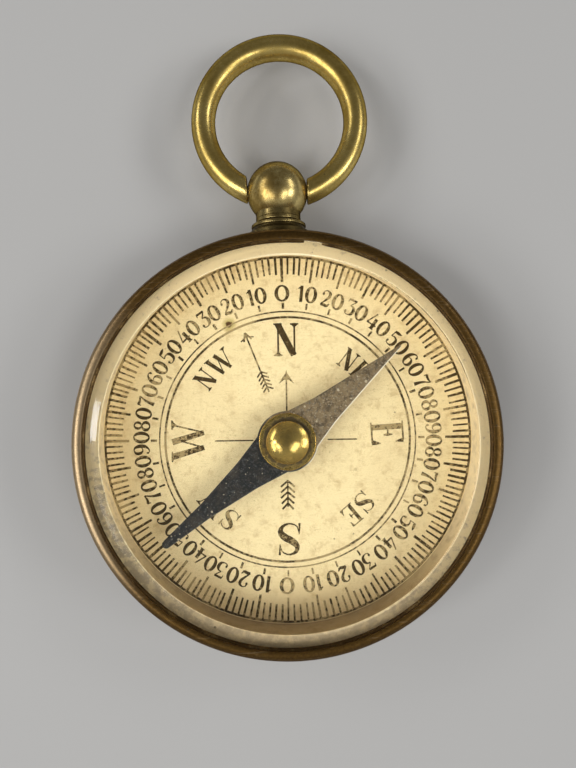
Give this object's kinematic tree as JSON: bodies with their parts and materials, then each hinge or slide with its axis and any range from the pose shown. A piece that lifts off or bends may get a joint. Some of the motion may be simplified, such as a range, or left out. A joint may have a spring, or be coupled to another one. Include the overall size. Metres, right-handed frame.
{
  "type": "pocket field compass",
  "caption": "Round brass pocket compass with a bevelled glass, a printed quadrant dial, a needle on a steel point and a bow that swings in a ball pendant.",
  "frame": {"origin": "centre of the case's flat back, on the needle's pivot axis", "axes": "+Z out of the dial through the glass, +Y from the pivot towards the pendant"},
  "size_m": [0.0406, 0.0616, 0.0093],
  "materials": {
    "case_brass": "dull, browned with age",
    "bezel_brass": "dark brown tarnish, worn bright at the edges",
    "glass": "polished, with a ground and polished bevel",
    "seat_card": "cream card, blotched lilac-grey",
    "pale_ring": "pale, dull",
    "paper": "printed cream paper, foxed and tanned",
    "plate_brass": "dull",
    "bright_steel": "ground bright",
    "blued_steel": "one half blued dark slate, the other bare and dusty",
    "cap_brass": "polished",
    "agate": "polished",
    "pendant_brass": "satin, olive tarnish",
    "bow_brass": "worn bright, brown tarnish in patches"
  },
  "bodies": {
    "case": {"case_body": "case_brass", "bezel": "bezel_brass", "retaining_wire": "bezel_brass", "crystal": "glass", "glass_seat": "seat_card", "spacer_ring": "pale_ring", "dial_card": "paper", "dial_plate": "plate_brass", "pivot_post": "plate_brass", "pivot_pin": "bright_steel", "pendant_collar": "pendant_brass", "pendant_ball": "pendant_brass"},
    "needle": {"needle_blade": "blued_steel", "needle_cap": "cap_brass", "needle_washer": "cap_brass", "needle_jewel": "agate"},
    "bow": {"bow": "bow_brass"}
  },
  "joints": [
    {"name": "needle_turn", "type": "hinge", "parent": "case", "child": "needle", "pos_m": [0, 0, 0.005], "axis": [0, 0, 1], "continuous": true},
    {"name": "bow_swing", "type": "hinge", "parent": "case", "child": "bow", "pos_m": [0, 0.02505, 0.0046], "axis": [1, 0, 0], "range_deg": [-135, 135]}
  ]
}
